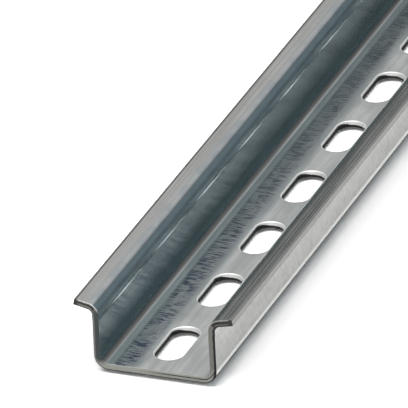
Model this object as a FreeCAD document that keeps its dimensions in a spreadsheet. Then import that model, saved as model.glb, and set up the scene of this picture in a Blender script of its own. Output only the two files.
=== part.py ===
"""Perforated top-hat mounting rail, 35 mm wide, roll-formed from one strip of steel.

Frame: X along the rail, Y across it, Z up. The origin is mid-length, on the
centre line, at the underside of the floor, so the rail lies open side up.
Sizes are in millimetres and angles in degrees.
"""
import FreeCAD, Part
import math
import os

import Sketcher

# Driving sizes
SIZES = {
    "rail_length": 1000.0,
    "rail_width": 35.0,
    "channel_width": 27.0,
    "rail_height": 15.0,
    "sheet_thickness": 1.5,
    "floor_bend_radius": 1.6,
    "flange_bend_radius": 1.2,
    "flange_rise_angle": 12.0,
    "slit_edge_radius": 0.3,
    "slot_width": 6.2,
    "slot_length": 15.0,
    "slot_pitch": 25.0,
}
RAIL_NAME = "din_rail"
PARTS_FOLDER = "parts"
VOLUME_TOLERANCE = 1e-4

# Point positions in a sketch constraint
START, END, CENTRE = 1, 2, 3
ROOT_GEOMETRY, SKETCH_ORIGIN = -1, 1
HORIZONTAL_AXIS = -1


def make_sheet(doc):
    """Write every driving size into its own named cell."""
    sheet = doc.addObject("Spreadsheet::Sheet", "Sizes")
    for row, (alias, value) in enumerate(SIZES.items(), start=1):
        sheet.set(f"A{row}", alias)
        sheet.set(f"B{row}", str(value))
        sheet.setAlias(f"B{row}", alias)
    doc.recompute()
    return sheet


def origin_feature(body, role):
    """Return the body's own origin plane or axis with that role."""
    return next(item for item in body.Origin.OriginFeatures if item.Role == role)


def attach(sketch, body, role):
    """Lay a sketch flat on one of its own body's origin planes."""
    sketch.AttachmentSupport = [(origin_feature(body, role), "")]
    sketch.MapMode = "FlatFace"


def arc(centre, radius, start_angle, end_angle):
    """Counter-clockwise arc between two angles in degrees."""
    circle = Part.Circle(FreeCAD.Vector(*centre, 0), FreeCAD.Vector(0, 0, 1), radius)
    return Part.ArcOfCircle(circle, math.radians(start_angle), math.radians(end_angle))


def line(start, end):
    """Straight edge between two points of a sketch plane."""
    return Part.LineSegment(FreeCAD.Vector(*start, 0), FreeCAD.Vector(*end, 0))


def polar(centre, radius, angle):
    """Point at a radius and an angle in degrees about a centre."""
    turn = math.radians(angle)
    return (centre[0] + radius * math.cos(turn), centre[1] + radius * math.sin(turn))


def bind(sketch, constraint, expression):
    """Add a dimension, name it by its number and tie it to the sheet."""
    index = sketch.addConstraint(constraint)
    name = f"size_{index}"
    sketch.renameConstraint(index, name)
    sketch.setExpression("Constraints." + name, expression)


def section_geometry():
    """Return the edges of the half section in order, from the floor's centre line.

    The strip runs out along the floor, turns up into the wall and out into the
    flange, which rises a little towards its tip. The two corners of the slit
    tip are rounded.
    """
    sheet_t = SIZES["sheet_thickness"]
    floor_in = SIZES["floor_bend_radius"]
    flange_in = SIZES["flange_bend_radius"]
    rise = SIZES["flange_rise_angle"]
    corner = SIZES["slit_edge_radius"]
    wall_y = SIZES["channel_width"] / 2
    floor_out = floor_in + sheet_t
    flange_out = flange_in + sheet_t
    low = (wall_y - floor_out, floor_out)
    high = (wall_y + flange_in, SIZES["rail_height"] - flange_out)
    across = math.radians(rise)
    out_dir = (math.cos(across), math.sin(across))
    up_dir = (-math.sin(across), math.cos(across))

    # The rounded tip reaches out to half the rail's width
    bend_under = polar(high, flange_in, 90 + rise)
    tip_centre = SIZES["rail_width"] / 2 - corner
    run = (tip_centre - bend_under[0] - up_dir[0] * corner) / out_dir[0]

    def along(distance, height):
        """Point on the flange, out from the bend and up from its underside."""
        return tuple(bend_under[i] + out_dir[i] * distance + up_dir[i] * height for i in (0, 1))

    tip_low = along(run, corner)
    tip_high = along(run, sheet_t - corner)
    return [
        line((0, 0), (low[0], 0)),
        arc(low, floor_out, -90, 0),
        line((wall_y, low[1]), (wall_y, high[1])),
        arc(high, flange_in, 90 + rise, 180),
        line(bend_under, along(run, 0)),
        arc(tip_low, corner, rise - 90, rise),
        line(along(run + corner, corner), along(run + corner, sheet_t - corner)),
        arc(tip_high, corner, rise, rise + 90),
        line(along(run, sheet_t), polar(high, flange_out, 90 + rise)),
        arc(high, flange_out, 90 + rise, 180),
        line((wall_y - sheet_t, high[1]), (wall_y - sheet_t, low[1])),
        arc(low, floor_in, -90, 0),
        line((low[0], sheet_t), (0, sheet_t)),
        line((0, sheet_t), (0, 0)),
    ]


def make_section(body):
    """Draw the half section on the plane across the rail and tie it to the sheet."""
    sketch = body.newObject("Sketcher::SketchObject", "HalfSection")
    attach(sketch, body, "YZ_Plane")
    edges = section_geometry()
    sketch.addGeometry(edges, False)
    (under, floor_outer, wall_outer, flange_inner, flange_under, corner_low, tip, corner_high,
     flange_top, flange_outer, wall_inner, floor_inner, floor_top, middle) = range(len(edges))

    # Each joint names the edges' ends that meet, and smooth ones are tangent there
    smooth = [
        (under, END, floor_outer, START),
        (floor_outer, END, wall_outer, START),
        (wall_outer, END, flange_inner, END),
        (flange_inner, START, flange_under, START),
        (flange_under, END, corner_low, START),
        (corner_low, END, tip, START),
        (tip, END, corner_high, START),
        (corner_high, END, flange_top, START),
        (flange_top, END, flange_outer, START),
        (flange_outer, END, wall_inner, START),
        (wall_inner, END, floor_inner, END),
        (floor_inner, START, floor_top, START),
    ]
    for joint in smooth:
        sketch.addConstraint(Sketcher.Constraint("Tangent", *joint))
    sketch.addConstraint([
        Sketcher.Constraint("Coincident", floor_top, END, middle, START),
        Sketcher.Constraint("Coincident", middle, END, under, START),
        Sketcher.Constraint("Coincident", under, START, ROOT_GEOMETRY, SKETCH_ORIGIN),
        Sketcher.Constraint("Horizontal", under),
        Sketcher.Constraint("Horizontal", floor_top),
        Sketcher.Constraint("Vertical", middle),
        Sketcher.Constraint("Vertical", wall_outer),
        Sketcher.Constraint("Coincident", floor_outer, CENTRE, floor_inner, CENTRE),
        Sketcher.Constraint("Coincident", flange_outer, CENTRE, flange_inner, CENTRE),
        Sketcher.Constraint("Parallel", flange_under, flange_top),
        Sketcher.Constraint("Perpendicular", flange_under, tip),
        Sketcher.Constraint("Equal", corner_low, corner_high),
    ])

    def size(kind, where, value, expression):
        """Add one dimension of the section and tie it to the sheet."""
        bind(sketch, Sketcher.Constraint(kind, *where, value), expression)

    half_channel = SIZES["channel_width"] / 2
    sheet_t = SIZES["sheet_thickness"]
    rise = math.radians(SIZES["flange_rise_angle"])
    crown = SIZES["rail_height"] - SIZES["flange_bend_radius"] - sheet_t
    tip_centre = SIZES["rail_width"] / 2 - SIZES["slit_edge_radius"]
    size("DistanceY", (middle, END, middle, START), sheet_t, "Sizes.sheet_thickness")
    size("DistanceX", (ROOT_GEOMETRY, SKETCH_ORIGIN, wall_outer, START), half_channel,
         "Sizes.channel_width / 2")
    size("Radius", (floor_inner,), SIZES["floor_bend_radius"], "Sizes.floor_bend_radius")
    size("Radius", (flange_inner,), SIZES["flange_bend_radius"], "Sizes.flange_bend_radius")
    size("Radius", (corner_low,), SIZES["slit_edge_radius"], "Sizes.slit_edge_radius")
    size("Radius", (flange_outer,), SIZES["flange_bend_radius"] + sheet_t,
         "Sizes.flange_bend_radius + Sizes.sheet_thickness")
    size("DistanceY", (ROOT_GEOMETRY, SKETCH_ORIGIN, flange_inner, CENTRE), crown,
         "Sizes.rail_height - Sizes.flange_bend_radius - Sizes.sheet_thickness")
    size("Angle", (HORIZONTAL_AXIS, flange_under), rise, "Sizes.flange_rise_angle")
    size("DistanceX", (ROOT_GEOMETRY, SKETCH_ORIGIN, corner_low, CENTRE), tip_centre,
         "Sizes.rail_width / 2 - Sizes.slit_edge_radius")
    return sketch


def make_slot_outline(body):
    """Draw the first slot of the row on the plane of the floor's underside."""
    count = math.floor(SIZES["rail_length"] / SIZES["slot_pitch"])
    first_x = -(count - 1) * SIZES["slot_pitch"] / 2
    radius = SIZES["slot_width"] / 2
    straight = SIZES["slot_length"] - SIZES["slot_width"]
    left = (first_x - straight / 2, 0)
    right = (first_x + straight / 2, 0)

    sketch = body.newObject("Sketcher::SketchObject", "SlotOutline")
    attach(sketch, body, "XY_Plane")
    edges = [
        arc(left, radius, 90, 270),
        line((left[0], -radius), (right[0], -radius)),
        arc(right, radius, -90, 90),
        line((right[0], radius), (left[0], radius)),
    ]
    sketch.addGeometry(edges, False)
    left_end, near_side, right_end, far_side = range(len(edges))
    for joint in ((left_end, END, near_side, START), (near_side, END, right_end, START),
                  (right_end, END, far_side, START), (far_side, END, left_end, START)):
        sketch.addConstraint(Sketcher.Constraint("Tangent", *joint))
    sketch.addConstraint([
        Sketcher.Constraint("Equal", left_end, right_end),
        Sketcher.Constraint("PointOnObject", left_end, CENTRE, HORIZONTAL_AXIS),
        Sketcher.Constraint("PointOnObject", right_end, CENTRE, HORIZONTAL_AXIS),
    ])
    bind(sketch, Sketcher.Constraint("Radius", left_end, radius), "Sizes.slot_width / 2")
    bind(sketch, Sketcher.Constraint("DistanceX", left_end, CENTRE, right_end, CENTRE, straight),
         "Sizes.slot_length - Sizes.slot_width")
    bind(sketch, Sketcher.Constraint("DistanceX", right_end, CENTRE, ROOT_GEOMETRY, SKETCH_ORIGIN,
                                     -first_x - straight / 2),
         "(floor(Sizes.rail_length / Sizes.slot_pitch) - 1) * Sizes.slot_pitch / 2"
         " - (Sizes.slot_length - Sizes.slot_width) / 2")
    return sketch


def make_rail(doc):
    """Pad the half section, mirror it, then punch the row of slots."""
    body = doc.addObject("PartDesign::Body", "Rail")
    body.Label = RAIL_NAME

    section = make_section(body)
    half = body.newObject("PartDesign::Pad", "HalfRail")
    half.Profile = section
    half.SideType = "Symmetric"
    half.setExpression("Length", "Sizes.rail_length")
    section.Visibility = False

    whole = body.newObject("PartDesign::Mirrored", "WholeSection")
    whole.Originals = [half]
    whole.MirrorPlane = (origin_feature(body, "XZ_Plane"), [""])
    body.Tip = whole
    doc.recompute()
    unpunched = body.Shape.Volume

    outline = make_slot_outline(body)
    slot = body.newObject("PartDesign::Pocket", "Slot")
    slot.Profile = outline
    slot.Type = "ThroughAll"
    slot.Reversed = True
    outline.Visibility = False
    body.Tip = slot
    doc.recompute()
    one_slot = unpunched - body.Shape.Volume

    row = body.newObject("PartDesign::LinearPattern", "SlotRow")
    row.Originals = [slot]
    row.Direction = (origin_feature(body, "X_Axis"), [""])
    row.setExpression("Length", "(floor(Sizes.rail_length / Sizes.slot_pitch) - 1) * Sizes.slot_pitch")
    row.setExpression("Occurrences", "floor(Sizes.rail_length / Sizes.slot_pitch)")
    body.Tip = row
    body.Placement = FreeCAD.Placement()
    doc.recompute()
    check_cuts(body, unpunched, one_slot, row.Occurrences)
    return body


def check_cuts(body, unpunched, one_slot, count):
    """Stop if a slot took away another volume than its outline times the sheet."""
    width, length = SIZES["slot_width"], SIZES["slot_length"]
    outline_area = width * (length - width) + math.pi * width ** 2 / 4
    expected = outline_area * SIZES["sheet_thickness"]
    removed = unpunched - body.Shape.Volume
    if not math.isclose(one_slot, expected, rel_tol=VOLUME_TOLERANCE):
        raise RuntimeError(f"one slot removed {one_slot:.3f} mm3, not {expected:.3f}")
    if not math.isclose(removed, expected * count, rel_tol=VOLUME_TOLERANCE):
        raise RuntimeError(f"the slot row removed {removed:.3f} mm3, not {expected * count:.3f}")


def check_document(doc):
    """Stop if any object of the document failed to build."""
    for item in doc.Objects:
        if "Invalid" in item.State or "Error" in item.State:
            raise RuntimeError(f"{item.Name} did not build: {item.State}")


def export(body):
    """Write one sub-part's solid to its own file, after checking it."""
    shape = body.Shape
    if shape.isNull() or not shape.isValid() or len(shape.Solids) != 1:
        raise RuntimeError(f"{body.Label} is not one valid solid")
    box = shape.BoundBox
    shape.exportStep(os.path.join(PARTS_FOLDER, body.Label + ".step"))
    print(f"{body.Label}: {box.XLength:.2f} x {box.YLength:.2f} x {box.ZLength:.2f} mm, "
          f"volume {shape.Volume:.1f} mm3, {len(shape.Faces)} faces")


def main():
    """Build the rail and write its file."""
    doc = FreeCAD.newDocument("DinRail")
    make_sheet(doc)
    rail = make_rail(doc)
    check_document(doc)
    os.makedirs(PARTS_FOLDER, exist_ok=True)
    export(rail)


main()
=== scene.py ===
"""Dresses the slotted mounting rail: a zinc plated sheet bent to a top hat, with punched slots.

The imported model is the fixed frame. One smooth sheet stands for its only node, and a
plain studio with a pale floor is set round it. All lengths are in metres.
"""
import logging
import math
from dataclasses import dataclass, field
from enum import Enum
from typing import Any, Callable

import bpy
from mathutils import Matrix, Vector


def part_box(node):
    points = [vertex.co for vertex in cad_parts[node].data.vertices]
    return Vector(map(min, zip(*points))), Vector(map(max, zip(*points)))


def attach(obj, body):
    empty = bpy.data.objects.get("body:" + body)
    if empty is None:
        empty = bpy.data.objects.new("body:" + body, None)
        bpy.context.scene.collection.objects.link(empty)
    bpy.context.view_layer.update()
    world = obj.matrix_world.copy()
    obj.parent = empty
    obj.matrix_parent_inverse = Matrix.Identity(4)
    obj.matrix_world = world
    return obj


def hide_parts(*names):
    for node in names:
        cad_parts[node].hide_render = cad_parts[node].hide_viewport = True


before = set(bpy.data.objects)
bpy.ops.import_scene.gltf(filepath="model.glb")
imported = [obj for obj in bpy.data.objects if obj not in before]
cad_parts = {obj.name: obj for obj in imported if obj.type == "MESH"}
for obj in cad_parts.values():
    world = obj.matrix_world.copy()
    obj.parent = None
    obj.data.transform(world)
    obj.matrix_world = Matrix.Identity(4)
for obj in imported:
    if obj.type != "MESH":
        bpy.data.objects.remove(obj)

LOG = logging.getLogger("rail")
MM = 0.001
NEAR = 0.01 * MM
ROUNDING = 1e-6
RAIL_NODE = "din_rail"
DEPTH = "depth_from_channel"
BODY = "root"

Colour = tuple[float, float, float, float]
Triple = tuple[float, float, float]
Span = tuple[float, float]


class Element(Enum):
    """What a selection is made of, named as the edit mode's select_mode names it."""

    VERTEX = "VERT"
    EDGE = "EDGE"
    FACE = "FACE"


class Surface(Enum):
    """The material slots of the rail's mesh: the sheet's faces, and its cut edges by their tool."""

    PLATED = 0
    PUNCHED = 1
    SLIT = 2
    SAWN = 3


class Value:
    """A shader socket that works in a Python expression, each operation adding its Math node."""

    def __init__(self, graph: "Graph", socket: bpy.types.NodeSocket) -> None:
        """Wraps a socket.

        Args:
            graph: The graph that the socket's node is in.
            socket: The output socket to read.
        """
        self.graph = graph
        self.socket = socket

    def _math(self, operation: str, *operands: Any) -> "Value":
        """Adds one Math node.

        Args:
            operation: The node's operation.
            operands: Values or numbers for its inputs, in order.

        Returns:
            The node's result.
        """
        inputs = dict(enumerate(operands))
        return self.graph.node("ShaderNodeMath", {"operation": operation}, inputs)

    def __add__(self, other: Any) -> "Value":
        """Self plus other."""
        return self._math("ADD", self, other)

    def __radd__(self, other: Any) -> "Value":
        """Other plus self."""
        return self._math("ADD", other, self)

    def __sub__(self, other: Any) -> "Value":
        """Self minus other."""
        return self._math("SUBTRACT", self, other)

    def __rsub__(self, other: Any) -> "Value":
        """Other minus self."""
        return self._math("SUBTRACT", other, self)

    def __mul__(self, other: Any) -> "Value":
        """Self times other."""
        return self._math("MULTIPLY", self, other)

    def __rmul__(self, other: Any) -> "Value":
        """Other times self."""
        return self._math("MULTIPLY", other, self)

    def __truediv__(self, other: Any) -> "Value":
        """Self over other."""
        return self._math("DIVIDE", self, other)

    def __abs__(self) -> "Value":
        """The size of self without its sign."""
        return self._math("ABSOLUTE", self)

    def held(self, low: float, high: float) -> "Value":
        """Self, held between low and high."""
        return self._math("MAXIMUM", self._math("MINIMUM", self, high), low)

    def ramp(self, low: float, high: float) -> "Value":
        """A smooth rise from 0 where self is low to 1 where it is high.

        Args:
            low: The value of self where the rise starts.
            high: The value where it ends; less than low makes it a fall.

        Returns:
            The smoothed share, from 0 to 1.
        """
        inputs = {"Value": self, "From Min": low, "From Max": high}
        return self.graph.node("ShaderNodeMapRange", {"interpolation_type": "SMOOTHSTEP"}, inputs)


class Graph:
    """The node tree of a material or of the world, filled node by node."""

    MIX_FACTOR = 0
    MIX_A = 6
    MIX_B = 7
    MIX_RESULT = 2

    def __init__(self, tree: bpy.types.NodeTree) -> None:
        """Takes a tree and empties it.

        Args:
            tree: The node tree to fill.
        """
        self.tree = tree
        tree.nodes.clear()

    def node(
        self,
        kind: str,
        settings: dict[str, Any] | None = None,
        inputs: dict[Any, Any] | None = None,
        output: int | str = 0,
    ) -> Value:
        """Adds a node, sets it up and fills its sockets.

        Args:
            kind: The node's type.
            settings: Its own settings, set before the sockets are filled.
            inputs: Values or links for its sockets, by name or number.
            output: The output to hand back.

        Returns:
            The chosen output.
        """
        made = self.tree.nodes.new(kind)
        for name, value in (settings or {}).items():
            setattr(made, name, value)
        for name, value in (inputs or {}).items():
            socket = made.inputs[name]
            if isinstance(value, Value):
                self.tree.links.new(value.socket, socket)
            else:
                socket.default_value = value
        return Value(self, made.outputs[output] if len(made.outputs) else None)

    def mix(self, share: Value | float, first: Any, second: Any) -> Value:
        """Blends two colours.

        Args:
            share: 0 gives the first colour and 1 the second.
            first: A colour or a link.
            second: A colour or a link.

        Returns:
            The blended colour.
        """
        inputs = {self.MIX_FACTOR: share, self.MIX_A: first, self.MIX_B: second}
        return self.node("ShaderNodeMix", {"data_type": "RGBA"}, inputs, self.MIX_RESULT)

    def axis(self, name: str) -> Value:
        """The point's place along one axis of the piece, in metres."""
        point = self.node("ShaderNodeTexCoord", output="Object")
        return self.node("ShaderNodeSeparateXYZ", inputs={"Vector": point}, output=name)

    def noise(self, cell: Triple, detail: float = 2.0, lean: float = 0.0) -> Value:
        """Smooth noise whose cells have a real size.

        Args:
            cell: The size of one cell along each axis, in metres.
            detail: How many finer layers are added.
            lean: How far the cells are turned about the piece's Y axis, in radians.

        Returns:
            The noise, from 0 to 1.
        """
        point = self.node("ShaderNodeTexCoord", output="Object")
        turn = (0.0, lean, 0.0)
        leant = self.node("ShaderNodeMapping", inputs={"Vector": point, "Rotation": turn})
        scale = tuple(1 / length for length in cell)
        stretched = self.node("ShaderNodeMapping", inputs={"Vector": leant, "Scale": scale})
        inputs = {"Vector": stretched, "Scale": 1.0, "Detail": detail}
        return self.node("ShaderNodeTexNoise", inputs=inputs, output="Fac")


def grey(level: float) -> Colour:
    """A grey of that level."""
    return (level, level, level, 1.0)


@dataclass(frozen=True)
class RailSizes:
    """The rail's real sizes, with its overall ones read from the frame."""

    length: float
    width: float
    sheet: float = 1.5 * MM
    channel_width: float = 27 * MM
    crown_height: float = 15 * MM
    floor_bend: float = 1.6 * MM
    flange_bend: float = 1.2 * MM
    flange_rise: float = math.radians(12)
    edge_radius: float = 0.3 * MM
    slot_width: float = 6.2 * MM
    slot_length: float = 15 * MM
    pitch: float = 25 * MM
    roll_line: float = 11.3 * MM

    @classmethod
    def from_frame(cls) -> "RailSizes":
        """The sizes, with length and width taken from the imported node."""
        low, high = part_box(RAIL_NODE)
        return cls(length=high.x - low.x, width=high.y - low.y)

    @property
    def cells(self) -> int:
        """How many slots the rail has."""
        return int(self.length / self.pitch + ROUNDING)

    @property
    def wall(self) -> float:
        """How far each wall's outer face is from the middle."""
        return self.channel_width / 2

    @property
    def inner_wall(self) -> float:
        """How far each wall's inner face is from the middle."""
        return self.wall - self.sheet

    @property
    def floor_half(self) -> float:
        """How far the flat floor reaches from the middle."""
        return self.inner_wall - self.floor_bend

    @property
    def outer_flange_bend(self) -> float:
        """The radius of the flange bend on the channel's side."""
        return self.flange_bend + self.sheet

    @property
    def wall_top(self) -> float:
        """The height at which the flat wall meets the flange bend."""
        return self.crown_height - self.outer_flange_bend

    @property
    def flange_length(self) -> float:
        """The flat flange's length, out to its sheared edge.

        Returns:
            The length, in metres.
        """
        run, rise = math.cos(self.flange_rise), math.sin(self.flange_rise)
        corner = self.edge_radius * (1 - run - rise)
        bend_end = self.wall + self.flange_bend * (1 - rise)
        return (self.width / 2 - corner - bend_end) / run


class Workpiece:
    """A mesh that is shaped in edit mode with Blender's own operators."""

    def __init__(self, piece: bpy.types.Object) -> None:
        """Takes the object that was just added.

        Args:
            piece: The mesh object to shape.
        """
        self.piece = piece

    def pick(self, element: Element, test: Callable[[Vector], bool]) -> None:
        """Selects elements by the place of their middle, and nothing else.

        Args:
            element: Whether vertices, edges or faces are selected.
            test: Says of a middle point whether its element is selected.
        """
        self._pick_none()
        for item, middle in self._middles(element):
            item.select = bool(test(middle))
        bpy.ops.object.mode_set(mode="EDIT")
        bpy.ops.mesh.select_mode(type=element.value)

    def pick_sharp(self, test: Callable[[Vector], bool], least: float = math.radians(60)) -> None:
        """Selects edges whose two faces meet at a sharp angle, and nothing else.

        Args:
            test: Says of a middle point whether its edge may be selected.
            least: The least angle between the faces, in radians.
        """
        self._pick_none()
        mesh = self.piece.data
        sides: dict[tuple[int, int], list[Vector]] = {}
        for face in mesh.polygons:
            for key in face.edge_keys:
                sides.setdefault(key, []).append(face.normal)
        for edge, middle in self._middles(Element.EDGE):
            normals = sides.get(edge.key, [])
            if len(normals) == 2 and test(middle):
                edge.select = normals[0].angle(normals[1], 0.0) > least
        bpy.ops.object.mode_set(mode="EDIT")
        bpy.ops.mesh.select_mode(type=Element.EDGE.value)

    def _pick_none(self) -> None:
        """Leaves edit mode, with nothing selected."""
        bpy.ops.object.mode_set(mode="OBJECT")
        mesh = self.piece.data
        for group in (mesh.vertices, mesh.edges, mesh.polygons):
            group.foreach_set("select", [False] * len(group))

    def _middles(self, element: Element) -> list[tuple[Any, Vector]]:
        """Pairs each element of a kind with its middle point.

        Args:
            element: The kind.

        Returns:
            The pairs, in the mesh's order.
        """
        mesh = self.piece.data
        if element is Element.VERTEX:
            return [(v, v.co.copy()) for v in mesh.vertices]
        if element is Element.FACE:
            return [(f, f.center.copy()) for f in mesh.polygons]
        places = [v.co.copy() for v in mesh.vertices]
        return [(e, (places[e.vertices[0]] + places[e.vertices[1]]) / 2) for e in mesh.edges]

    def finish(self, kind: str, **settings: Any) -> None:
        """Adds a modifier and applies it at once.

        Args:
            kind: The modifier's type.
            settings: Its settings.
        """
        bpy.ops.object.mode_set(mode="OBJECT")
        modifier = self.piece.modifiers.new(kind.lower(), kind)
        for name, value in settings.items():
            setattr(modifier, name, value)
        bpy.ops.object.modifier_apply(modifier=modifier.name)


@dataclass(frozen=True)
class Zones:
    """Where on the rail's section a point lies: each is a share from 0 to 1."""

    floor: Value
    foot: Value
    corner: Value
    wall: Value
    shoulder: Value
    tip: Value
    outside: Value
    toe: Value
    rim: Value
    under: Value

    @classmethod
    def of(cls, graph: Graph, sizes: RailSizes) -> "Zones":
        """Works out the zones from the place on the piece.

        Args:
            graph: The material's graph.
            sizes: The rail's sizes.

        Returns:
            The zones.
        """
        across, upward = graph.axis("Y"), graph.axis("Z")
        aside = abs(across)
        sheet, floor_half = sizes.sheet, sizes.floor_half
        inner, outer, half_width = sizes.inner_wall, sizes.wall, sizes.width / 2
        bend_top, wall_top = sheet + sizes.floor_bend, sizes.wall_top
        floor_fall = (1.8 * sheet, 1.2 * sheet)
        foot_start = (floor_half + 0.3 * MM, floor_half + 0.8 * MM)
        foot_fall = (0.85 * bend_top, 0.7 * bend_top)
        corner_start = (-floor_half, -floor_half - 0.4 * MM)
        corner_end = (-inner - 0.4 * MM, -inner)
        corner_fall = (1.4 * bend_top, bend_top)
        wall_start = (inner - 0.5 * MM, inner - 0.1 * MM)
        wall_end = (outer - 0.3 * MM, outer - 0.9 * MM)
        shoulder_rise = (sizes.roll_line + 0.2 * MM, wall_top)
        shoulder_end = (1.13 * outer, 1.03 * outer)
        tip_start = (half_width - 3.8 * MM, half_width - 2.6 * MM)
        outside_start = (outer - 0.3 * MM, outer)
        outside_fall = (wall_top, wall_top - 1 * MM)
        toe_start = (outer - 1.3 * MM, outer - 0.7 * MM)
        toe_fall = (2.4 * sheet, 2.0 * sheet)
        rim_start = (half_width - 0.9 * MM, half_width - 0.7 * MM)
        under_start = (outer - 1.3 * MM, outer - 0.9 * MM)
        under_fall = (1.65 * sheet, 1.35 * sheet)
        left_side = across.ramp(0.0, inner)
        return cls(
            floor=upward.ramp(*floor_fall),
            foot=across.ramp(*foot_start) * upward.ramp(*foot_fall),
            corner=across.ramp(*corner_start)
            * across.ramp(*corner_end)
            * upward.ramp(*corner_fall),
            wall=aside.ramp(*wall_start) * aside.ramp(*wall_end),
            shoulder=upward.ramp(*shoulder_rise) * across.ramp(*shoulder_end) * left_side,
            tip=aside.ramp(*tip_start),
            outside=aside.ramp(*outside_start) * upward.ramp(*outside_fall),
            toe=aside.ramp(*toe_start) * upward.ramp(*toe_fall),
            rim=across.ramp(*rim_start),
            under=aside.ramp(*under_start) * upward.ramp(*under_fall),
        )


@dataclass(frozen=True)
class ZincPlating:
    """Bright zinc on rolled sheet: rolling streaks, a bluish bloom and chatter beside one bend,
    with painted shade and a painted highlight in some zones.
    """

    name: str = "bright_zinc_plating"
    bright: Colour = (0.68, 0.685, 0.675, 1.0)
    dull: Colour = (0.53, 0.55, 0.545, 1.0)
    bloom: Colour = (0.39, 0.445, 0.50, 1.0)
    rubbed: Colour = (0.86, 0.87, 0.89, 1.0)
    stroke: Colour = (0.09, 0.13, 0.225, 1.0)
    # painted shade: a darker, bluer grey on the channel's inner walls
    channel_shade: Colour = (0.40, 0.55, 0.60, 1.0)
    # painted shade: the inner walls darker still towards the bottom
    lower_shade: Colour = (0.228, 0.335, 0.365, 1.0)
    warm: Colour = (0.48, 0.48, 0.465, 1.0)
    # painted shade: a darker, warmer grey on the outer faces, toning down the floor they reflect
    outside_shade: Colour = (0.44, 0.435, 0.415, 1.0)
    scuffed: Colour = (0.33, 0.325, 0.305, 1.0)
    # painted highlight: a bright line along the outer bottom bends
    toe_highlight: Colour = (0.93, 0.92, 0.90, 1.0)
    shaded: Colour = (0.22, 0.22, 0.22, 1.0)
    # painted shade: near black at the foot of the outer bends, where the rail meets the floor
    contact_shade: Colour = (0.03, 0.03, 0.03, 1.0)
    # painted shade: a dark strip along the +Y flange's outer edge
    rim_shade: Colour = (0.14, 0.14, 0.13, 1.0)
    channel_shade_share: float = 0.65
    lower_wall_shade: Span = (9.6 * MM, 5 * MM)
    lower_shade_share: float = 0.8
    bloom_share: float = 0.3
    warm_share: float = 0.5
    outside_shade_share: float = 0.38
    scuffed_share: float = 0.35
    roughness: float = 0.16
    roughness_spread: float = 0.08
    bend_roughness: float = 0.18
    tip_roughness: float = 0.16
    toe_roughness: float = 0.26
    chatter_roughness: float = 0.08
    corner_roughness: float = 0.4
    streak_cell: Triple = (60 * MM, 1.6 * MM, 1.2 * MM)
    cloud_cell: Triple = (11 * MM, 4 * MM, 4 * MM)
    dulled_levels: Span = (0.36, 0.64)
    line_cell: Triple = (90 * MM, 0.45 * MM, 0.9 * MM)
    line_levels: Span = (0.44, 0.60)
    blotch_cell: Triple = (4.5 * MM, 2 * MM, 2 * MM)
    blotch_levels: Span = (0.46, 0.62)
    scratch_cell: Triple = (0.6 * MM, 2 * MM, 2.6 * MM)
    scratch_lean: float = math.radians(28)
    scratch_levels: Span = (0.44, 0.66)
    grain_cell: Triple = (3 * MM, 0.12 * MM, 0.12 * MM)
    grain_height: float = 0.0005 * MM
    wave_cell: Triple = (12 * MM, 2.5 * MM, 2.5 * MM)
    wave_height: float = 0.010 * MM
    chatter_band: tuple[float, float, float, float] = (3.8 * MM, 6.0 * MM, 8.3 * MM, 9.4 * MM)
    chatter_fade: Span = (30 * MM, 140 * MM)
    chatter_faded: float = 0.5
    chatter_cell: Triple = (0.45 * MM, 2.6 * MM, 2.6 * MM)
    chatter_levels: Span = (0.485, 0.565)
    chatter_height: float = 0.03 * MM
    patch_cell: Triple = (6 * MM, 3 * MM, 3 * MM)
    patch_levels: Span = (0.30, 0.48)
    stroke_share: float = 0.86
    rubbed_share: float = 0.5
    sweep_start: float = 8.9 * MM
    sweep_height: float = 0.06 * MM
    wall_middle: float = 8.5 * MM
    wall_bow: float = 7.5
    run_in_gap: float = 0.3 * MM
    run_in: float = 1.5 * MM
    run_in_slope: float = math.radians(12)

    def material(self, sizes: RailSizes) -> bpy.types.Material:
        """Makes the plating's material.

        Args:
            sizes: The rail's sizes, which place its zones.

        Returns:
            The material.
        """
        material = bpy.data.materials.new(self.name)
        material.use_nodes = True
        graph = Graph(material.node_tree)
        zones = Zones.of(graph, sizes)
        band = self._chatter_band(graph, zones, sizes)
        patches = graph.noise(self.patch_cell).ramp(*self.patch_levels)
        chatter = graph.noise(self.chatter_cell, detail=1)
        streaks = graph.noise(self.streak_cell, detail=3)
        clouds = graph.noise(self.cloud_cell, detail=3)
        dulled = (streaks * 0.5 + clouds * 0.5).ramp(*self.dulled_levels)
        lines = graph.noise(self.line_cell, detail=1).ramp(*self.line_levels)
        colour = graph.mix(dulled, self.bright, self.dull)
        colour = self._zone_colours(graph, zones, lines, colour)
        colour = graph.mix(band * self.rubbed_share, colour, self.rubbed)
        strokes = band * patches * chatter.ramp(*self.chatter_levels)
        colour = graph.mix(strokes * self.stroke_share, colour, self.stroke)
        bends = zones.foot + zones.shoulder
        rough = self.roughness + (dulled - 0.5) * self.roughness_spread
        rough = rough + bends * self.bend_roughness + zones.tip * lines * self.tip_roughness
        rough = rough + zones.toe * self.toe_roughness + zones.corner * self.corner_roughness
        rough = rough + band * self.chatter_roughness
        shader = graph.node(
            "ShaderNodeBsdfPrincipled",
            inputs={
                "Base Color": colour,
                "Metallic": 1.0,
                "Roughness": rough,
                "Normal": self._relief(graph, zones, chatter * band * patches, sizes),
            },
        )
        graph.node("ShaderNodeOutputMaterial", inputs={"Surface": shader})
        return material

    def _chatter_band(self, graph: Graph, zones: Zones, sizes: RailSizes) -> Value:
        """How strong the chatter is: in a band of the floor, and weaker away from the near end.

        Args:
            graph: The material's graph.
            zones: The zones of the section.
            sizes: The rail's sizes.

        Returns:
            The share, from 0 to 1.
        """
        across, along = graph.axis("Y"), graph.axis("X") + sizes.length / 2
        low, full, fading, high = self.chatter_band
        kept = 1.0 - along.ramp(*self.chatter_fade) * self.chatter_faded
        return across.ramp(low, full) * across.ramp(high, fading) * zones.floor * kept

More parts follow.
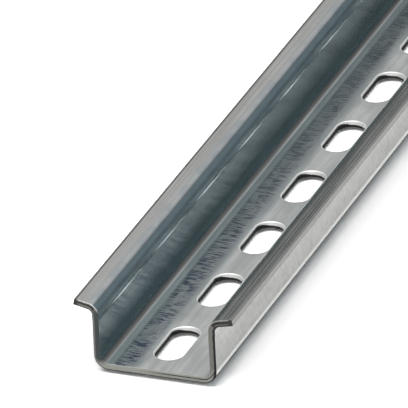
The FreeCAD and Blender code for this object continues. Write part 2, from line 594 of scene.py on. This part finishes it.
    def _zone_colours(self, graph: Graph, zones: Zones, lines: Value, colour: Value) -> Value:
        """Lays each zone's colour over the plating's: some are tints and scratches of the plating,
        others are painted shade and a painted highlight.

        Args:
            graph: The material's graph.
            zones: The zones of the section.
            lines: The fine lines that the rolls left.
            colour: The plating's colour.

        Returns:
            The colour with the zones in it.
        """
        # painted shade: the inner walls grow darker and bluer towards the bottom
        lower_wall_shade = zones.wall * graph.axis("Z").ramp(*self.lower_wall_shade)
        blotches = graph.noise(self.blotch_cell).ramp(*self.blotch_levels)
        bloom = zones.shoulder * (blotches * self.bloom_share + self.bloom_share)
        warmth = zones.tip * (lines * self.warm_share + self.warm_share)
        scratches = graph.noise(self.scratch_cell, detail=3, lean=self.scratch_lean)
        scuffs = zones.outside * scratches.ramp(*self.scratch_levels)
        # painted shade: the channel's inner walls are darker and bluer
        colour = graph.mix(zones.wall * self.channel_shade_share, colour, self.channel_shade)
        colour = graph.mix(lower_wall_shade * self.lower_shade_share, colour, self.lower_shade)
        colour = graph.mix(bloom, colour, self.bloom)
        colour = graph.mix(warmth, colour, self.warm)
        # painted shade: the outer faces are darker and warmer
        colour = graph.mix(zones.outside * self.outside_shade_share, colour, self.outside_shade)
        colour = graph.mix(scuffs * self.scuffed_share, colour, self.scuffed)
        # painted highlight along the outer bottom bends
        colour = graph.mix(zones.toe, colour, self.toe_highlight)
        # painted shade where the rail meets the floor
        colour = graph.mix(zones.under, colour, self.contact_shade)
        colour = graph.mix(zones.foot, colour, self.shaded)
        # painted shade along the +Y flange's outer edge
        return graph.mix(zones.rim, colour, self.rim_shade)

    def _relief(self, graph: Graph, zones: Zones, chatter: Value, sizes: RailSizes) -> Value:
        """The fine relief: grain, waves, chatter, the bends' run-out on floor and walls.

        Args:
            graph: The material's graph.
            zones: The zones of the section.
            chatter: How high the chatter stands.
            sizes: The rail's sizes, which place the run-out.

        Returns:
            The normal to shade with.
        """
        across, upward = graph.axis("Y"), graph.axis("Z")
        grain = graph.noise(self.grain_cell, detail=1) * self.grain_height
        waves = graph.noise(self.wave_cell) * self.wave_height
        sweep = abs(across).ramp(self.sweep_start, sizes.floor_half) * zones.floor
        off_middle = upward.held(0.0, sizes.roll_line) - self.wall_middle
        bow = off_middle * off_middle * self.wall_bow
        start = sizes.roll_line + self.run_in_gap
        past_line = ((upward - start) / self.run_in).held(0.0, 1.0)
        run_in = (past_line * past_line * 0.5 - past_line) * zones.wall
        height = grain + waves + sweep * self.sweep_height + bow
        height = height + run_in * (self.run_in * math.tan(self.run_in_slope))
        height = height + chatter * self.chatter_height
        inputs = {"Height": height / MM, "Distance": MM, "Strength": 1.0}
        return graph.node("ShaderNodeBump", inputs=inputs)


@dataclass(frozen=True)
class CutEdge:
    """A cut through the sheet: a lip where the tool came in, the cut, and a tear where it left."""

    name: str
    lip: Colour
    cut: Colour
    tear: Colour
    lip_depth: Span
    tear_depth: Span
    roughness: float
    metallic: float = 1.0
    mark_cell: Triple = (0.2 * MM, 0.2 * MM, 0.8 * MM)
    mark_height: float = 0.003 * MM
    wander: float = 0.2
    tear_roughness: float = 0.2

    def material(self) -> bpy.types.Material:
        """Makes the cut's material.

        Returns:
            The material.
        """
        material = bpy.data.materials.new(self.name)
        material.use_nodes = True
        graph = Graph(material.node_tree)
        marks = graph.noise(self.mark_cell)
        depth = graph.node("ShaderNodeAttribute", {"attribute_name": DEPTH}, output="Fac")
        depth = self._place(graph, depth + (marks - 0.5) * self.wander)
        relief = {"Height": marks * (self.mark_height / MM), "Distance": MM, "Strength": 1.0}
        shader = graph.node(
            "ShaderNodeBsdfPrincipled",
            inputs={
                "Base Color": self._colour(graph, depth),
                "Metallic": self.metallic,
                "Roughness": self.roughness + depth.ramp(*self.tear_depth) * self.tear_roughness,
                "Normal": graph.node("ShaderNodeBump", inputs=relief),
            },
        )
        graph.node("ShaderNodeOutputMaterial", inputs={"Surface": shader})
        return material

    def _place(self, graph: Graph, depth: Value) -> Value:
        """The depth in the cut, as the zones are read from it."""
        return depth

    def _colour(self, graph: Graph, depth: Value) -> Value:
        """The cut's colour at a depth."""
        lip_and_cut = graph.mix(depth.ramp(*self.lip_depth), self.lip, self.cut)
        return graph.mix(depth.ramp(*self.tear_depth), lip_and_cut, self.tear)


@dataclass(frozen=True)
class PunchedEdge(CutEdge):
    """A slot's wall, whose dark lower band reaches higher on the +Y side as painted shade."""

    # painted shade: on the +Y side the slot wall's dark band reaches higher
    shaded_side: Span = (0.6 * MM, 3.1 * MM)
    side_shade_shift: float = 0.36

    def _place(self, graph: Graph, depth: Value) -> Value:
        """The depth in the cut, moved on at the +Y side, so that the painted shade there reaches
        higher.
        """
        return depth + graph.axis("Y").ramp(*self.shaded_side) * self.side_shade_shift


@dataclass(frozen=True)
class SawnEnd(CutEdge):
    """The rail's end, with a dark break line; each wall, flange and tip has its own lighter and
    darker parts, and the +Y flange's lip has a painted highlight.
    """

    line: Colour = (0.03, 0.03, 0.03, 1.0)
    line_half: float = 0.10
    line_depths: tuple[float, float, float] = (0.42, 0.82, 0.40)
    wider_line: float = 0.06
    # painted highlight: a brighter lip on the +Y flange's end
    left_lip_glint: Colour = (0.90, 0.90, 0.88, 1.0)
    flange_cut: Colour = (0.10, 0.10, 0.095, 1.0)
    floor_cut: Colour = (0.28, 0.285, 0.26, 1.0)
    earlier_tear: float = 0.20
    burr: Colour = (0.20, 0.20, 0.195, 1.0)
    burr_depth: Span = (0.62, 0.82)
    dark_wall: Colour = (0.06, 0.068, 0.068, 1.0)
    tip: Colour = (0.05, 0.05, 0.05, 1.0)
    tip_start: Span = (16.1 * MM, 16.9 * MM)
    side_start: Span = (9.5 * MM, 11.5 * MM)
    floor_end: Span = (1.4 * MM, 4.0 * MM)
    wall_foot: Span = (0.8 * MM, 2.4 * MM)
    wall_head: Span = (14 * MM, 12.6 * MM)
    flange_start: Span = (13.0 * MM, 13.8 * MM)
    left_lip_glint_start: Span = (10.5 * MM, 12 * MM)
    line_start: Span = (4 * MM, -3 * MM)
    line_fall: Span = (1.0, 0.5)

    def _colour(self, graph: Graph, depth: Value) -> Value:
        """The cut's colour at a depth, with the break line, the dark wall and tips over it.

        Args:
            graph: The material's graph.
            depth: The depth, from 0 at the channel's side to 1 at the outer side.

        Returns:
            The colour.
        """
        across, upward = graph.axis("Y"), graph.axis("Z")
        inner, outer = self.side_start
        left, right = across.ramp(inner, outer), across.ramp(-inner, -outer)
        from_floor, to_flange = upward.ramp(*self.floor_end), upward.ramp(*self.flange_start)
        on_wall = upward.ramp(*self.wall_foot) * upward.ramp(*self.wall_head)
        # painted highlight: the +Y flange's lip is brighter
        left_flange = left * upward.ramp(*self.left_lip_glint_start)
        lip = graph.mix(left_flange, self.lip, self.left_lip_glint)
        lip = graph.mix(right * on_wall, lip, self.cut)
        cut = graph.mix(from_floor, self.floor_cut, self.cut)
        cut = graph.mix(to_flange * right, cut, self.flange_cut)
        colour = graph.mix(depth.ramp(*self.lip_depth), lip, cut)
        torn = depth + right * on_wall * self.earlier_tear
        colour = graph.mix(torn.ramp(*self.tear_depth), colour, self.tear)
        colour = graph.mix(self._line(graph, depth, from_floor, to_flange), colour, self.line)
        dark = graph.mix(depth.ramp(*self.burr_depth), self.dark_wall, self.burr)
        colour = graph.mix(left * on_wall, colour, dark)
        return graph.mix(abs(across).ramp(*self.tip_start), colour, self.tip)

    def _line(self, graph: Graph, depth: Value, from_floor: Value, to_flange: Value) -> Value:
        """The break line's share, at its own depth in the floor, the walls and the flanges.

        Args:
            graph: The material's graph.
            depth: The depth in the cut.
            from_floor: 0 on the floor and 1 above it.
            to_flange: 0 below the flanges and 1 on them.

        Returns:
            The share, from 0 to 1.
        """
        in_floor, in_wall, in_flange = self.line_depths
        middle = from_floor * (in_wall - in_floor) + to_flange * (in_flange - in_wall) + in_floor
        half = to_flange * self.wider_line + self.line_half
        reach = (graph.axis("Y").ramp(*self.line_start) + from_floor).held(0.0, 1.0)
        return (abs(depth - middle) / half).ramp(*self.line_fall) * reach


PUNCHED_EDGE = PunchedEdge(
    name="punched_edge",
    lip=(0.92, 0.92, 0.90, 1.0),
    cut=(0.86, 0.86, 0.84, 1.0),
    # the near-black tear is the punch's fracture zone and painted shade of the gap under the sheet
    tear=(0.04, 0.04, 0.04, 1.0),
    lip_depth=(0.05, 0.30),
    tear_depth=(0.52, 0.66),
    roughness=0.58,
)
SLIT_EDGE = CutEdge(
    name="slit_edge",
    lip=(0.16, 0.16, 0.155, 1.0),
    cut=(0.36, 0.36, 0.345, 1.0),
    tear=(0.05, 0.05, 0.05, 1.0),
    lip_depth=(0.15, 0.35),
    tear_depth=(0.82, 0.92),
    roughness=0.55,
    metallic=0.0,
)
SAWN_EDGE = SawnEnd(
    name="sawn_end",
    lip=(0.45, 0.45, 0.42, 1.0),
    cut=(0.17, 0.17, 0.155, 1.0),
    # the dark tear along the outer side is the cut's fracture zone and painted shade that runs into
    # the floor's shadow
    tear=(0.02, 0.02, 0.02, 1.0),
    lip_depth=(0.06, 0.16),
    tear_depth=(0.80, 0.90),
    roughness=0.40,
)


@dataclass
class Rail:
    """The whole rail as one bent sheet, made from one slotted cell repeated along its length."""

    sizes: RailSizes
    plating: ZincPlating = field(default_factory=ZincPlating)
    name: str = "plated_rail"
    slot_points: int = 30
    cell_steps: int = 9
    panel_steps: int = 6
    panel_rings: int = 2
    floor_bend_steps: int = 8
    flange_bend_steps: int = 8
    roll_line_half: float = 0.20 * MM
    roll_line_slope: float = math.radians(6.5)
    slot_roll: float = 0.28 * MM
    slot_roll_steps: int = 4
    burr_roll: float = 0.08 * MM
    slit_steps: int = 4
    end_roll: float = 0.10 * MM
    end_roll_steps: int = 2
    smooth_angle: float = math.radians(35)
    flat_weight: int = 80

    def build(self) -> bpy.types.Object:
        """Models the rail and dresses it.

        Returns:
            The finished piece.
        """
        work = self._slotted_panel()
        for side in (1, -1):
            self._bend_side(work, side)
        self._repeat(work)
        self._thicken(work)
        self._ease_edges(work)
        return self._dress(work)

    @property
    def _first(self) -> float:
        """Where the first cell's middle lies along the rail."""
        return -self.sizes.length / 2 + self.sizes.pitch / 2

    def _slotted_panel(self) -> Workpiece:
        """Makes the first cell's floor: a flat panel round one slot.

        Returns:
            The panel, in edit mode.
        """
        sizes = self.sizes
        step = math.pi / self.slot_points
        radius = sizes.slot_width / 2 / math.cos(step)
        middle = Vector((self._first, 0, sizes.sheet))
        bpy.ops.object.select_all(action="DESELECT")
        bpy.ops.mesh.primitive_circle_add(
            vertices=self.slot_points, radius=radius, location=middle, rotation=(0, 0, math.pi / 2)
        )
        bpy.ops.object.transform_apply(location=True, rotation=True, scale=True)
        work = Workpiece(bpy.context.object)
        work.piece.name = self.name
        work.piece.data.name = self.name
        reach = sizes.slot_length / 2 - radius
        for side in (1, -1):
            work.pick(Element.VERTEX, lambda p: (p.x - middle.x) * side > 0)
            bpy.ops.transform.translate(value=(side * reach, 0, 0))
        bpy.ops.mesh.select_all(action="DESELECT")
        bpy.ops.mesh.primitive_plane_add(size=sizes.pitch, location=middle)
        stretch = 2 * sizes.floor_half / sizes.pitch
        bpy.ops.transform.resize(value=(1, stretch, 1), center_override=middle)
        bpy.ops.mesh.delete(type="ONLY_FACE")
        work.pick(Element.EDGE, lambda p: abs(abs(p.y) - sizes.floor_half) < NEAR)
        bpy.ops.mesh.subdivide(number_cuts=self.cell_steps - 1)
        work.pick(Element.EDGE, lambda p: abs(abs(p.x - middle.x) - sizes.pitch / 2) < NEAR)
        bpy.ops.mesh.subdivide(number_cuts=self.panel_steps - 1)
        bpy.ops.mesh.select_all(action="SELECT")
        bpy.ops.mesh.bridge_edge_loops(number_cuts=self.panel_rings, interpolation="LINEAR")
        bpy.ops.mesh.select_all(action="SELECT")
        bpy.ops.mesh.normals_make_consistent(inside=False)
        bpy.ops.object.mode_set(mode="OBJECT")
        if work.piece.data.polygons[0].normal.z < 0:
            work.piece.data.flip_normals()
        return work

    def _bend_side(self, work: Workpiece, side: int) -> None:
        """Bends one side of the cell up into its wall and out into its flange.

        Args:
            work: The cell.
            side: 1 for the side towards +Y, and -1 for the other.
        """
        sizes = self.sizes
        wall_start = sizes.sheet + sizes.floor_bend
        work.pick(Element.EDGE, lambda p: abs(p.y * side - sizes.floor_half) < NEAR)
        self._spin(side * math.pi / 2, self.floor_bend_steps, side * sizes.floor_half, wall_start)
        middle, half = sizes.roll_line, self.roll_line_half
        step = 2 * half * math.tan(self.roll_line_slope)
        profile = ((middle - half, step), (middle + half, 0), (sizes.wall_top, 0))
        height, proud = wall_start, 0.0
        for next_height, next_proud in profile:
            move = (0, -side * (next_proud - proud), next_height - height)
            bpy.ops.mesh.extrude_edges_move(TRANSFORM_OT_translate={"value": move})
            height, proud = next_height, next_proud
        turn = math.pi / 2 - sizes.flange_rise
        centre = sizes.wall + sizes.flange_bend
        self._spin(-side * turn, self.flange_bend_steps, side * centre, sizes.wall_top)
        out = Vector((0, side * math.cos(sizes.flange_rise), math.sin(sizes.flange_rise)))
        flange = out * sizes.flange_length
        bpy.ops.mesh.extrude_edges_move(TRANSFORM_OT_translate={"value": flange})
        bpy.ops.object.mode_set(mode="OBJECT")

    @staticmethod
    def _spin(angle: float, steps: int, across: float, height: float) -> None:
        """Turns the selected edges about a line along the rail, leaving the bent sheet behind.

        Args:
            angle: The turn from +Y towards +Z, in radians; the operator counts it the other way.
            steps: How many flats the bend has.
            across: The line's place across the rail.
            height: The line's height.
        """
        bpy.ops.mesh.spin(steps=steps, angle=-angle, center=(0, across, height), axis=(1, 0, 0))

    def _repeat(self, work: Workpiece) -> None:
        """Repeats the cell along the rail and joins the copies.

        Args:
            work: The cell.
        """
        work.finish(
            "ARRAY",
            count=self.sizes.cells,
            use_relative_offset=False,
            use_constant_offset=True,
            constant_offset_displace=(self.sizes.pitch, 0, 0),
            use_merge_vertices=True,
            merge_threshold=NEAR,
        )

    def _thicken(self, work: Workpiece) -> None:
        """Gives the sheet its thickness, away from the channel.

        Args:
            work: The rail's inner face.
        """
        work.piece.data.materials.append(self.plating.material(self.sizes))
        for edge in (PUNCHED_EDGE, SLIT_EDGE, SAWN_EDGE):
            work.piece.data.materials.append(edge.material())
        work.pick(Element.FACE, lambda p: True)
        bpy.ops.mesh.normals_make_consistent(inside=False)
        bpy.ops.object.mode_set(mode="OBJECT")
        faces = work.piece.data.polygons
        on_floor = next(f for f in faces if abs(f.center.y) < self.sizes.floor_half)
        if on_floor.normal.z < 0:
            work.piece.data.flip_normals()
        work.piece.vertex_groups.new(name=DEPTH)
        work.finish(
            "SOLIDIFY",
            shell_vertex_group=DEPTH,
            thickness=self.sizes.sheet,
            offset=-1,
            use_even_offset=True,
            use_quality_normals=True,
            material_offset_rim=Surface.PUNCHED.value,
        )

    def _ease_edges(self, work: Workpiece) -> None:
        """Rounds the edges that the punch, the slitter and the saw left.

        Args:
            work: The rail, in its full thickness.
        """
        sizes = self.sizes
        near = 2 * NEAR
        end = sizes.length / 2 - near
        half_slot = sizes.slot_width / 2 + near
        edge = sizes.width / 2 - sizes.sheet * math.sin(sizes.flange_rise) - near
        flange = sizes.wall + sizes.sheet
        top = sizes.sheet - near
        self._cover(work, Surface.SLIT, lambda p: abs(p.y) > edge)
        self._cover(work, Surface.SAWN, lambda p: abs(p.x) > end)
        work.pick_sharp(lambda p: abs(p.y) < half_slot and p.z > top and abs(p.x) < end)
        bpy.ops.mesh.bevel(
            offset=self.slot_roll, segments=self.slot_roll_steps, material=Surface.PUNCHED.value
        )
        work.pick_sharp(lambda p: abs(p.y) < half_slot and p.z < near and abs(p.x) < end)
        bpy.ops.mesh.bevel(offset=self.burr_roll, segments=1)
        work.pick_sharp(lambda p: abs(p.y) > flange and abs(p.x) < end)
        bpy.ops.mesh.bevel(
            offset=sizes.edge_radius, segments=self.slit_steps, material=Surface.SLIT.value
        )
        work.pick_sharp(lambda p: abs(p.x) > end)
        bpy.ops.mesh.bevel(offset=self.end_roll, segments=self.end_roll_steps)
        self._smooth(work)

    def _smooth(self, work: Workpiece) -> None:
        """Shades the bends smooth and keeps the flats and the roll line crisp.

        Args:
            work: The rail with its edges eased.
        """
        bpy.ops.object.mode_set(mode="OBJECT")
        bpy.ops.object.shade_smooth_by_angle(angle=self.smooth_angle)
        wall = self.sizes.inner_wall + 2 * NEAR
        line, reach = self.sizes.roll_line, self.roll_line_half + 2 * NEAR
        work.pick(Element.EDGE, lambda p: abs(p.y) < wall and abs(p.z - line) < reach)
        bpy.ops.mesh.mark_sharp()
        work.finish("WEIGHTED_NORMAL", keep_sharp=True, weight=self.flat_weight)

    @staticmethod
    def _cover(work: Workpiece, surface: Surface, test: Callable[[Vector], bool]) -> None:
        """Gives faces another material.

        Args:
            work: The rail.
            surface: The material's slot.
            test: Says of a face's middle whether the face gets it.
        """
        work.pick(Element.FACE, test)
        work.piece.active_material_index = surface.value
        bpy.ops.object.material_slot_assign()

    def _dress(self, work: Workpiece) -> bpy.types.Object:
        """Ties the piece to the frame.

        Args:
            work: The modelled rail.

        Returns:
            The piece.
        """
        piece = work.piece
        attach(piece, BODY)
        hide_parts(RAIL_NODE)
        return piece


@dataclass(frozen=True)
class SoftBox:
    """One large soft lamp, placed by its direction and distance from the rail's near end."""

    name: str
    azimuth: float
    elevation: float
    distance: float
    width: float
    height: float
    radiance: float

    def hang(self, aim: Vector) -> None:
        """Adds the lamp.

        Args:
            aim: The point that it faces.
        """
        level = math.cos(self.elevation)
        east, north = math.cos(self.azimuth) * level, math.sin(self.azimuth) * level
        away = Vector((east, north, math.sin(self.elevation)))
        bpy.ops.object.light_add(type="AREA", location=aim + away * self.distance)
        lamp = bpy.context.object
        lamp.name = self.name
        lamp.data.shape = "RECTANGLE"
        lamp.data.size = self.width
        lamp.data.size_y = self.height
        lamp.data.energy = self.radiance * math.pi * self.width * self.height
        lamp.rotation_euler = away.to_track_quat("Z", "Y").to_euler()
        lamp.visible_camera = False


@dataclass
class Studio:
    """A pale floor, a dim room with a bright ceiling, soft boxes and the photograph's camera."""

    floor_size: float = 40.0
    floor_drop: float = 0.8 * MM
    floor_colour: float = 0.90
    floor_white: float = 1.26
    behind: Colour = (0.36, 0.36, 0.36, 1.0)
    behind_edge: Span = (0.66, 0.46)
    left_wall: Colour = (0.09, 0.10, 0.10, 1.0)
    right_wall: Colour = (0.20, 0.26, 0.28, 1.0)
    right_edge: Span = (-0.38, -0.52)
    ceiling: Colour = (0.68, 0.685, 0.685, 1.0)
    ceiling_tilt: float = math.radians(10)
    ceiling_edge: Span = (math.radians(21.5), math.radians(28.5))
    near_end: Triple = (-0.45, 0.0, 0.0)
    boxes: tuple[SoftBox, ...] = (
        SoftBox(
            name="overhead_box",
            azimuth=math.radians(-80),
            elevation=math.radians(84),
            distance=3.2,
            width=4.2,
            height=4.2,
            radiance=0.52,
        ),
        SoftBox(
            name="right_box",
            azimuth=math.radians(-100),
            elevation=math.radians(74),
            distance=2.5,
            width=2.4,
            height=0.45,
            radiance=7.8,
        ),
        SoftBox(
            name="left_box",
            azimuth=math.radians(150),
            elevation=math.radians(62),
            distance=2.5,
            width=1.4,
            height=0.9,
            radiance=7.5,
        ),
    )
    target: Triple = (-0.4262, 0.0174, 0.0015)
    azimuth: float = math.radians(22.01)
    elevation: float = math.radians(26.57)
    roll: float = math.radians(2.69)
    distance: float = 2.0227
    lens: float = 842.9
    sensor: float = 36.0

    def build(self) -> None:
        """Sets up the floor, the light and the camera."""
        self._floor()
        self._room()
        for box in self.boxes:
            box.hang(Vector(self.near_end))
        self._camera()
        bpy.context.scene.view_settings.view_transform = "Standard"

    def _floor(self) -> None:
        """Lays the floor, which keeps the rail's shadow and is white elsewhere."""
        bpy.ops.object.select_all(action="DESELECT")
        bpy.ops.mesh.primitive_plane_add(size=self.floor_size, location=(0, 0, -self.floor_drop))
        floor = bpy.context.object
        floor.name = "studio_floor"
        material = bpy.data.materials.new("pale_floor")
        material.use_nodes = True
        graph = Graph(material.node_tree)
        camera = graph.node("ShaderNodeLightPath", output="Is Camera Ray")
        colour = graph.mix(camera, grey(self.floor_colour), grey(self.floor_white))
        paper = graph.node("ShaderNodeBsdfDiffuse", inputs={"Color": colour})
        graph.node("ShaderNodeOutputMaterial", inputs={"Surface": paper})
        floor.data.materials.append(material)

    def _room(self) -> None:
        """Lights the room: dim round the camera, and beyond the rail a ceiling over dark walls."""
        world = bpy.data.worlds.new("studio_room")
        world.use_nodes = True
        bpy.context.scene.world = world
        graph = Graph(world.node_tree)
        direction = graph.node("ShaderNodeTexCoord", output="Generated")
        zenith = (0.0, math.sin(self.ceiling_tilt), math.cos(self.ceiling_tilt))
        product, operands = {"operation": "DOT_PRODUCT"}, {0: direction, 1: zenith}
        height = graph.node("ShaderNodeVectorMath", product, operands, output="Value")
        low, high = (math.sin(angle) for angle in self.ceiling_edge)
        ahead = graph.node("ShaderNodeSeparateXYZ", inputs={"Vector": direction}, output="X")
        leftward = graph.node("ShaderNodeSeparateXYZ", inputs={"Vector": direction}, output="Y")
        walls = graph.mix(leftward.ramp(*self.right_edge), self.left_wall, self.right_wall)
        beyond = graph.mix(height.ramp(low, high), walls, self.ceiling)
        colour = graph.mix(ahead.ramp(*self.behind_edge), beyond, self.behind)
        light = graph.node("ShaderNodeBackground", inputs={"Color": colour, "Strength": 1.0})
        graph.node("ShaderNodeOutputWorld", inputs={"Surface": light})

    def _camera(self) -> None:
        """Places the camera as the photograph was taken."""
        level = math.cos(self.elevation)
        east, north = math.cos(self.azimuth) * level, math.sin(self.azimuth) * level
        look = Vector((east, north, -math.sin(self.elevation)))
        right = look.cross(Vector((0, 0, 1))).normalized()
        right = Matrix.Rotation(self.roll, 3, look) @ right
        up = right.cross(look)
        data = bpy.data.cameras.new("photo_view")
        data.lens = self.lens
        data.sensor_width = self.sensor
        camera = bpy.data.objects.new("photo_view", data)
        bpy.context.scene.collection.objects.link(camera)
        place = Matrix((right, up, -look)).transposed().to_4x4()
        place.translation = Vector(self.target) - look * self.distance
        camera.matrix_world = place
        bpy.context.scene.camera = camera


def main() -> None:
    """Builds the rail and the studio in order."""
    logging.basicConfig(level=logging.INFO, format="%(name)s: %(message)s")
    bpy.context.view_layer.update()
    rail = Rail(RailSizes.from_frame()).build()
    LOG.info("%s: %d faces", rail.name, len(rail.data.polygons))
    Studio().build()
    LOG.info("studio ready")


if __name__ == "__main__":
    main()
